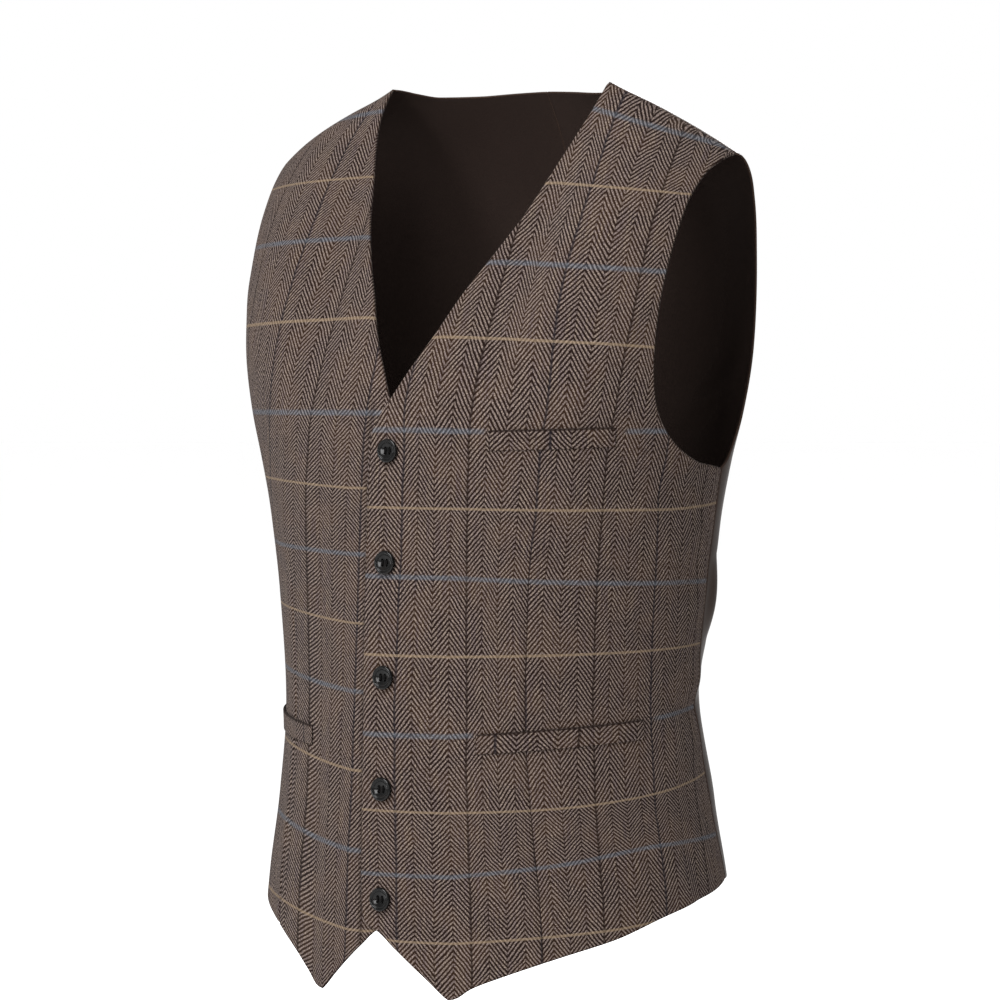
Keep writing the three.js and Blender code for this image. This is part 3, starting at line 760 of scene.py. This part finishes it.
def row_band(tree, distance, band):
    """1 on a row of the check and 0 past it, from a distance counted in rows."""
    return ramp(tree, distance, band[0] / ROW_SPACING, band[1] / ROW_SPACING, 1.0, 0.0)


def checked(tree, colour, across, across_uneven, light_share):
    """Check over a colour: upright lines of navy and umber in turn, LINE_SPACING apart, and rows of
    gold and blue in turn, which show most where the yarn is light."""
    to_line = maths(tree, "PINGPONG", across_uneven, LINE_SPACING / 2)
    pair = maths(tree, "PINGPONG", across, LINE_SPACING)
    odd_line = maths(tree, "GREATER_THAN", pair, LINE_SPACING / 2)
    line = times(tree, ramp(tree, to_line, *LINE_BAND, 1.0, 0.0), LINE_STRENGTH)
    colour = blended(tree, line, colour, blended(tree, odd_line, NAVY, UMBER))
    to_gold = maths(tree, "PINGPONG", mark(tree, "check"), 1.0)
    to_blue = maths(tree, "SUBTRACT", 1.0, to_gold)
    blue = row_band(tree, to_blue, BLUE_BAND)
    blue = times(tree, blue, maths(tree, "MULTIPLY_ADD", light_share, 0.5, 0.2))
    faded = noise(tree, vector(tree, times(tree, across, 0.05), 0.0), 1.0)
    blue = times(tree, blue, ramp(tree, faded, 0.35, 0.6, 0.75, 1.0))
    blue = times(tree, blue, maths(tree, "SUBTRACT", 1.0, mark(tree, "bare")))
    colour = blended(tree, blue, colour, BLUE)
    gold = row_band(tree, to_gold, GOLD_BAND)
    gold = times(tree, gold, maths(tree, "MULTIPLY_ADD", light_share, 0.35, 0.38))
    return blended(tree, gold, colour, GOLD)


def seams_and_painted_shade(tree, colour):
    """Dark line along the dart; painted shade on rolled edges and in pocket mouths and under an edge.
    """
    to_dart = maths(tree, "ABSOLUTE", mark(tree, "past_dart"))
    sewn = maths(tree, "GREATER_THAN", mark(tree, "taken_in"), 0.5)
    dart = times(tree, ramp(tree, to_dart, *DART_BAND, DART_STRENGTH, 0.0), sewn)
    colour = blended(tree, dart, colour, YARN_DARK)
    rim = times(tree, mark(tree, "rim"), RIM_PAINTED_SHADE)
    painted_shadow = times(tree, mark(tree, "painted_shadow"), PAINTED_SHADOW_DARK)
    return blended(tree, maths(tree, "MAXIMUM", rim, painted_shadow), colour, UMBER)


def tweed_finish():
    """Herringbone tweed with its check, on the places that the mesh keeps. Past the dart the cloth
    goes on as far across as the dart has taken in."""
    material, tree, shader = finish("tweed", Sheen_Weight=0.02, Specular_IOR_Level=0.0)
    past = maths(tree, "GREATER_THAN", mark(tree, "past_dart"), 0.0)
    across = maths(tree, "MULTIPLY_ADD", mark(tree, "taken_in"), past, mark(tree, "across"))
    along = mark(tree, "along")
    place = vector(tree, across, along)
    light_share, across_uneven = twill(tree, across, along, place)
    colour = yarn_colour(tree, across, along, place, light_share)
    colour = checked(tree, colour, across, across_uneven, light_share)
    tree.links.new(seams_and_painted_shade(tree, colour), shader.inputs["Base Color"])
    tree.links.new(ramp(tree, light_share, 0.0, 1.0, 0.95, 0.82), shader.inputs["Roughness"])
    hairs = noise(tree, place, 2.6, 2.0)
    bumped(tree, shader, maths(tree, "MULTIPLY_ADD", hairs, 0.5, light_share), 0.55, 0.00035)
    return material


# Tint of the satin's gleam at grazing angles, dark so that its silhouette stays brown
SATIN_RIM = (0.12, 0.1, 0.09, 1)


def satin_finish(name, colour, streak, roughness):
    """Satin: fine floats that streak up the cloth, in the object's own coordinates."""
    material, tree, shader = finish(
        name, Roughness=roughness, Specular_IOR_Level=0.01, Metallic=0.2, Specular_Tint=SATIN_RIM
    )
    where = tree.nodes.new("ShaderNodeTexCoord").outputs["Object"]
    node = tree.nodes.new("ShaderNodeMapping")
    node.inputs["Scale"].default_value = (2600, 2600, 260)
    tree.links.new(where, node.inputs["Vector"])
    floats = noise(tree, node.outputs["Vector"], 1.0, 3.0)
    clouds = noise(tree, where, 14.0, 2.0)
    share = maths(tree, "MULTIPLY_ADD", floats, 0.85, times(tree, clouds, 0.15))
    shade = blended(tree, ramp(tree, share, 0.3, 0.7), colour, streak)
    tree.links.new(shade, shader.inputs["Base Color"])
    bumped(tree, shader, floats, 0.12, 0.0001)
    return material


tweed = tweed_finish()
lining = satin_finish("lining", linear(27, 21, 19), linear(35, 28, 25), 0.4)

left_front = front(
    "left_front_cloth", 1, LAP_LEFT, lift, ROWS_LEFT, ROW_ANGLES_LEFT, CHECK_START_LEFT
)
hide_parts("left_front")

# Right front
# The wearer's right front, the left one's pair, whose edge lies flat underneath. Its check
# doesn't quite meet the left one's, and its hem rides a little higher.
LAP_RIGHT = 22
CHECK_START_RIGHT = 21
ROW_ANGLES_RIGHT = [10, 55, 105]
ROWS_RIGHT = [
    [-574, -557.4, -552], [-520, -502.8, -497], [-466, -451.5, -447], [-412.6, -401.8, -398],
    [-366.7, -358, -354], [-320, -316.2, -314], [-275.5, -271, -270], [-225, -226.3, -227],
    [-160.4, -166.3, -172], [-104, -111, -120], [-61, -70, -80], [-12, -28, -50],
]
right_front = front(
    "right_front_cloth", -1, LAP_RIGHT, lambda at: 0 * at, ROWS_RIGHT, ROW_ANGLES_RIGHT,
    CHECK_START_RIGHT,
)
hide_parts("right_front")

# Back
# Two halves of dark brown satin, lined, joined by a seam down the centre back and sewn to the
# fronts at the sides and shoulders. It takes the strain, so it creases at the waist.
SATIN_THICK = 1.4
BACK_HEM = [[110, -543], [145, -541], [180, -540]]
BACK_COLUMNS, BACK_ROWS, BACK_UPPER_ROWS = 40, 96, 92
ARMHOLE_BACK = [
    [100, -262], [104.5, -257], [109, -246], [113, -230], [117, -205], [120, -172], [122, -137],
    [123.3, -104], [123.6, -80], [122.8, -64],
]
BACK_NECK = [[86, -2.5], [75, -5], [50, -4.5], [25, -3], [0, -2]]


def back_chart(side):
    """Chart places of half of the back, in two patches that meet at the underarm's level."""
    gap = SEAM_GAP / 2 / MM_PER_DEGREE

    def middle(z):
        return [float(angle_at(SEAM_GAP / 2, z, True)), z]

    def ridge(t):
        x = mix(TIP_X, NECK_X, np.asarray(t, float))
        height = ridge_z(x, side)
        return np.stack([angle_at(x, height, True), height], -1)

    under = ARMHOLE_BACK[0][1]
    shoulder = ridge(np.linspace(0, 1, 41)).tolist()
    neck = [[float(angle_at(x, z, True)), z] if x else middle(z) for x, z in BACK_NECK]
    top, share = edge(shoulder + neck)
    hem, _ = edge([[BACK_HEM[0][0] + gap, BACK_HEM[0][1]], BACK_HEM[1], middle(BACK_HEM[2][1])])
    arm_rows = [[ARMHOLE_BACK[0][0] + gap, under], *ARMHOLE_BACK[1:], shoulder[0]]
    arm, _ = edge(arm_rows)
    seam, _ = edge([[at + gap, z] for at, z in SIDE_SEAM])
    chest = straight(arm_rows[0], middle(under))
    corner = share[len(shoulder) - 1]
    u = np.linspace(0, corner, BACK_COLUMNS)
    u = np.concatenate([u, np.linspace(corner, 1, BACK_COLUMNS)[1:]])
    centre = straight(middle(BACK_HEM[2][1]), middle(under))
    body = patch(hem, chest, seam, centre, u, np.linspace(0, 1, BACK_ROWS))
    v = 1 - (1 - np.linspace(0, 1, BACK_UPPER_ROWS)) ** CROWD
    upper = patch(chest, top, arm, straight(middle(under), neck[-1]), u, v)
    return np.concatenate([body, upper[1:]])


satin = satin_finish("satin", linear(34, 26, 22), linear(45, 35, 30), 0.3)
for side, name in ((1, "back_left"), (-1, "back_right")):
    chart = back_chart(side)
    inside = np.ones((chart.shape[0] - 1, chart.shape[1] - 1), int)
    finishes = [satin, lining]
    half = wall(
        name + "_cloth", side, chart, 0.0, SATIN_THICK, {}, finishes, inside, -SEAM_CLOSED
    )
    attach(half, "root")
    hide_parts(name)

# Pocket welts
# Three folded strips of the tweed, one on the chest and two below, sewn into the front along
# their lower edge and at both ends, with the mouth of the pocket along the upper edge.
WELT_THICK = 1.8
WELT_H = 14
# Share of the thickness left at the sewn edges, and length over which an end thins to it
WELT_HEM = 0.45
WELT_END = 5
WELT_COLUMNS, WELT_ROWS = 120, 16
WELT_COLUMN_STRETCH = 0.79
# Share of a welt's height above which its top is darkened, painted shadow of the pocket opening
PAINTED_SHADOW_FROM = 0.93


def strip(row, low, high, columns, rows):
    """Chart places of a strip along a welt, from so many millimetres below its top to so many."""
    t, below = np.meshgrid(np.linspace(0, 1, columns), np.linspace(low, high, rows))
    at = mix(row["from"], row["to"], t) + row["lean"] * below / WELT_H
    return np.stack([at, mix(*row["z"], t) - below], -1)


for row in WELTS:
    side = row["side"]
    rows, angles, start = (
        (ROWS_LEFT, ROW_ANGLES_LEFT, CHECK_START_LEFT) if side > 0
        else (ROWS_RIGHT, ROW_ANGLES_RIGHT, CHECK_START_RIGHT)
    )
    chart = strip(row, WELT_H, 0, WELT_COLUMNS, WELT_ROWS)
    at, z = chart[..., 0], chart[..., 1]
    base = (lift(at) if side > 0 else 0) + SEAM_GAP
    up = np.linspace(0, 1, WELT_ROWS)[:, None]
    from_end = np.minimum(at - row["from"], row["to"] - at) * MM_PER_DEGREE
    sewn_down = smooth(from_end / WELT_END)
    thick = WELT_THICK * mix(WELT_HEM, 1, up * sewn_down)
    marks = tweed_marks(side, at, z, angles, rows, start)
    marks["across"] = (arcs(side, at, z) - row["line"]) * WELT_COLUMN_STRETCH
    marks["along"] = -marks["along"]
    marks["taken_in"] = 0.0
    marks["bare"] = 1.0
    # Painted shadow along the welt's top, for the dark opening of the pocket
    marks["painted_shadow"] = smooth((up - PAINTED_SHADOW_FROM) / (1 - PAINTED_SHADOW_FROM)) + 0 * z
    strip_piece = wall(row["name"] + "_cloth", side, chart, base + thick, thick, marks, [tweed])
    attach(strip_piece, "root")
    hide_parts(row["name"])

# Buttons
# Five black horn-look buttons with four holes, a raised rim, a groove and a dished middle, sewn
# to the right front with black thread and passed through the left one.
BUTTON_X = 5.5
BUTTON_HEIGHTS = [-250, -325, -402, -477, -551]
BUTTON_PROFILE = np.array([
    [0, 0], [6.5, 0], [7.8, 0.9], [8.1, 1.9], [7.75, 2.85], [7.0, 3.2], [6.3, 2.95], [5.8, 2.4],
    [5.5, 2.35], [5.2, 2.5], [5.0, 2.44], [4.2, 2.18], [3.4, 1.91], [2.6, 1.65], [2.2, 1.57], [0, 1.5],
])
BUTTON_STEPS, BUTTON_SIDES = 92, 96
HOLE_R, HOLE_AT, HOLE_DEEP, HOLE_EASE = 0.85, 1.75, 1.3, 0.25
THREAD_R = 0.24
THREAD_SIDES = 8
THREAD_SURFACE, THREAD_SINK, THREAD_ARCH = 1.6, 0.9, 0.5
STRANDS = 3
# Distance between strands in a thread's radii
STRAND_APART = 1.7


def button_form():
    """Turned profile, closed on the axis, with four pits: the top sinks by HOLE_DEEP where the
    distance to a hole's middle is under its radius, eased over HOLE_EASE."""
    run = np.concatenate([[0], np.cumsum(np.hypot(*np.diff(BUTTON_PROFILE, axis=0).T))])
    t = np.linspace(0, run[-1], BUTTON_STEPS)
    radius = np.interp(t, run, BUTTON_PROFILE[:, 0])
    height = through(run, BUTTON_PROFILE[:, 1])(t)
    turn = np.linspace(0, 2 * np.pi, BUTTON_SIDES, endpoint=False)
    x, y = radius[:, None] * np.cos(turn), radius[:, None] * np.sin(turn)
    z = np.repeat(height[:, None], len(turn), axis=1)
    away = np.hypot(np.abs(x) - HOLE_AT, np.abs(y) - HOLE_AT)
    rim_top = run[np.argmax(BUTTON_PROFILE[:, 1])]
    upper = (t > rim_top)[:, None]
    z = z - np.where(upper, HOLE_DEEP * smooth((HOLE_R - away) / HOLE_EASE + 0.5), 0)
    grid = np.stack([x, y, z], -1)[1:-1]
    rings, around = grid.shape[:2]
    points = np.concatenate([grid.reshape(-1, 3), [[0, 0, height[0]], [0, 0, height[-1]]]])
    index = np.arange(rings * around).reshape(rings, around)
    following = np.roll(index, -1, 1)
    quads = np.stack([index[:-1], following[:-1], following[1:], index[1:]], -1)
    bottom, top = rings * around, rings * around + 1
    low, high = index[0], index[-1]
    caps = [[bottom, *pair] for pair in zip(np.roll(low, -1), low)]
    caps += [[top, *pair] for pair in zip(high, np.roll(high, -1))]
    return points, quads.reshape(-1, 4), caps


def strand_form(offset):
    """Sewing thread from an upper hole to a lower one: y = a cos(s), z = surface - sink cos(s)^6 +
    arch sin(s), for s from 0 to pi, as a tube."""
    s = np.linspace(0, np.pi, 13)
    rise = THREAD_SURFACE - THREAD_SINK * np.cos(s) ** 6 + THREAD_ARCH * np.sin(s)
    path = np.stack([offset * np.sin(s), HOLE_AT * np.cos(s), rise], -1)
    along = unit(np.gradient(path, axis=0))
    first = np.array([1.0, 0, 0])
    second = np.cross(along, first)
    turn = np.linspace(0, 2 * np.pi, THREAD_SIDES, endpoint=False)
    ring = np.cos(turn)[None, :, None] * first + np.sin(turn)[None, :, None] * second[:, None]
    grid = path[:, None] + THREAD_R * ring
    index = np.arange(len(grid) * THREAD_SIDES).reshape(-1, THREAD_SIDES)
    following = np.roll(index, -1, 1)
    quads = np.stack([index[:-1], index[1:], following[1:], following[:-1]], -1)
    caps = [index[0][::-1].tolist(), index[-1].tolist()]
    return grid.reshape(-1, 3), quads.reshape(-1, 4), caps


def seated(points, at, z, off):
    """Points of a small form turned to stand on the left front, its z along the cloth's normal."""
    normal = outward(np.array(at), np.array(z, float))
    across = unit(np.cross([0, 0, 1.0], normal))
    up = np.cross(normal, across)
    foot = figure(np.array(at), np.array(z, float)) + normal * off
    return foot + points @ np.stack([across, up, normal])


def horn_finish():
    """Polished black horn with faint brown streaks."""
    material, tree, shader = finish("horn", Specular_IOR_Level=0.11)
    where = tree.nodes.new("ShaderNodeTexCoord").outputs["Object"]
    streaks = noise(tree, where, 260.0, 3.0)
    colour = blended(tree, ramp(tree, streaks, 0.45, 0.75), linear(4, 4, 4), linear(12, 10, 9))
    tree.links.new(colour, shader.inputs["Base Color"])
    tree.links.new(ramp(tree, streaks, 0.3, 0.7, 0.1, 0.16), shader.inputs["Roughness"])
    return material


def thread_finish():
    """Black twisted polyester thread."""
    material, tree, shader = finish("thread", Roughness=0.7, Specular_IOR_Level=0.02)
    where = tree.nodes.new("ShaderNodeTexCoord").outputs["Object"]
    twist = noise(tree, where, 2500.0, 1.0)
    shade = blended(tree, twist, linear(4, 4, 4), linear(13, 12, 12))
    tree.links.new(shade, shader.inputs["Base Color"])
    bumped(tree, shader, twist, 0.4, 0.0001)
    return material


horn, thread = horn_finish(), thread_finish()
button_points, button_quads, button_caps = button_form()
for number, height in enumerate(BUTTON_HEIGHTS, 1):
    at = float(angle_at(BUTTON_X, height))
    off = float(lift(np.array([at]))[0]) + SEAM_GAP
    faces = [*button_quads.tolist(), *button_caps]
    placed = seated(button_points, at, height, off)
    button = piece(f"button_{number}_horn", placed, faces, [horn])
    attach(button, "root")
    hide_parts(f"button_{number}")
    sewing, faces = [], []
    for column in (-HOLE_AT, HOLE_AT):
        for strand in range(STRANDS):
            offset = (strand - 1) * STRAND_APART * THREAD_R
            points, quads, caps = strand_form(offset)
            start = sum(len(part) for part in sewing)
            sewing.append(points + [column + 0.3 * offset, 0, 0])
            faces += [[start + k for k in quad] for quad in [*quads.tolist(), *caps]]
    placed = seated(np.concatenate(sewing), at, height, off)
    stitches = piece(f"button_{number}_thread", placed, faces, [thread])
    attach(stitches, "root")

# Studio
# A white floor well below the garment, even light from all round, a broad light high in front, a
# tall narrow one in front that the buttons mirror, one behind on the side away from the camera, and
# the photograph's camera.
CAMERA_AZIMUTH, CAMERA_ELEVATION = 36, 2
CAMERA_DISTANCE = 3.5
CAMERA_RIGHT, CAMERA_DOWN = 0.005175, 0.28635
CAMERA_LENS = 182.61
FLOOR_Z = -0.95
FLOOR_R = 30.0
FLOOR_SIDES = 64


def placed_matrix(position, forward):
    """Columns right, up and backward of something that looks along forward from a position."""
    forward = unit(np.array(forward, float))
    right = unit(np.cross(forward, [0, 0, 1.0]))
    matrix = np.eye(4)
    matrix[:3, :3] = np.stack([right, np.cross(right, forward), -forward], 1)
    matrix[:3, 3] = position
    return Matrix(matrix.tolist())


azimuth, elevation = np.radians([CAMERA_AZIMUTH, CAMERA_ELEVATION])
right = np.array([np.cos(azimuth), np.sin(azimuth), 0])
ahead = np.array([-np.sin(azimuth), np.cos(azimuth), 0])
forward = np.cos(elevation) * ahead - np.sin(elevation) * np.array([0, 0, 1.0])
eye = right * CAMERA_RIGHT - np.cross(right, forward) * CAMERA_DOWN - forward * CAMERA_DISTANCE
camera_data = bpy.data.cameras.new("camera")
camera_data.lens = CAMERA_LENS
camera_data.sensor_width = 36
camera = bpy.data.objects.new("camera", camera_data)
bpy.context.collection.objects.link(camera)
bpy.context.scene.camera = camera
camera.matrix_world = placed_matrix(eye, forward)

LIGHTS = [
    {"name": "key", "from": (0.15, -1.95, 1.75), "size": (1.5, 1.5), "energy": 160},
    {"name": "strip", "from": (0.0, -3.0, 0.35), "size": (0.5, 1.6), "energy": 65},
    {"name": "back", "from": (-0.9, 2.5, 1.1), "size": (0.8, 1.4), "energy": 75},
]
target = np.array([0, 0, -0.3])
for row in LIGHTS:
    light_data = bpy.data.lights.new(row["name"], "AREA")
    light_data.shape = "RECTANGLE"
    light_data.size, light_data.size_y = row["size"]
    light_data.energy = row["energy"]
    light = bpy.data.objects.new(row["name"], light_data)
    bpy.context.collection.objects.link(light)
    light.matrix_world = placed_matrix(row["from"], target - np.array(row["from"]))

world = bpy.data.worlds.new("studio")
world.use_nodes = True
world.node_tree.nodes["Background"].inputs["Color"].default_value = (1, 1, 1, 1)
world.node_tree.nodes["Background"].inputs["Strength"].default_value = 1.0
bpy.context.scene.world = world
bpy.context.scene.view_settings.view_transform = "Standard"

turn = np.linspace(0, 2 * np.pi, FLOOR_SIDES, endpoint=False)
rim = np.stack([FLOOR_R * np.cos(turn), FLOOR_R * np.sin(turn), 0 * turn + FLOOR_Z], -1)
paper, _, _ = finish("paper", Base_Color=(1, 1, 1, 1), Roughness=0.9)
floor = piece("floor", rim / MM, [list(range(FLOOR_SIDES))], [paper])
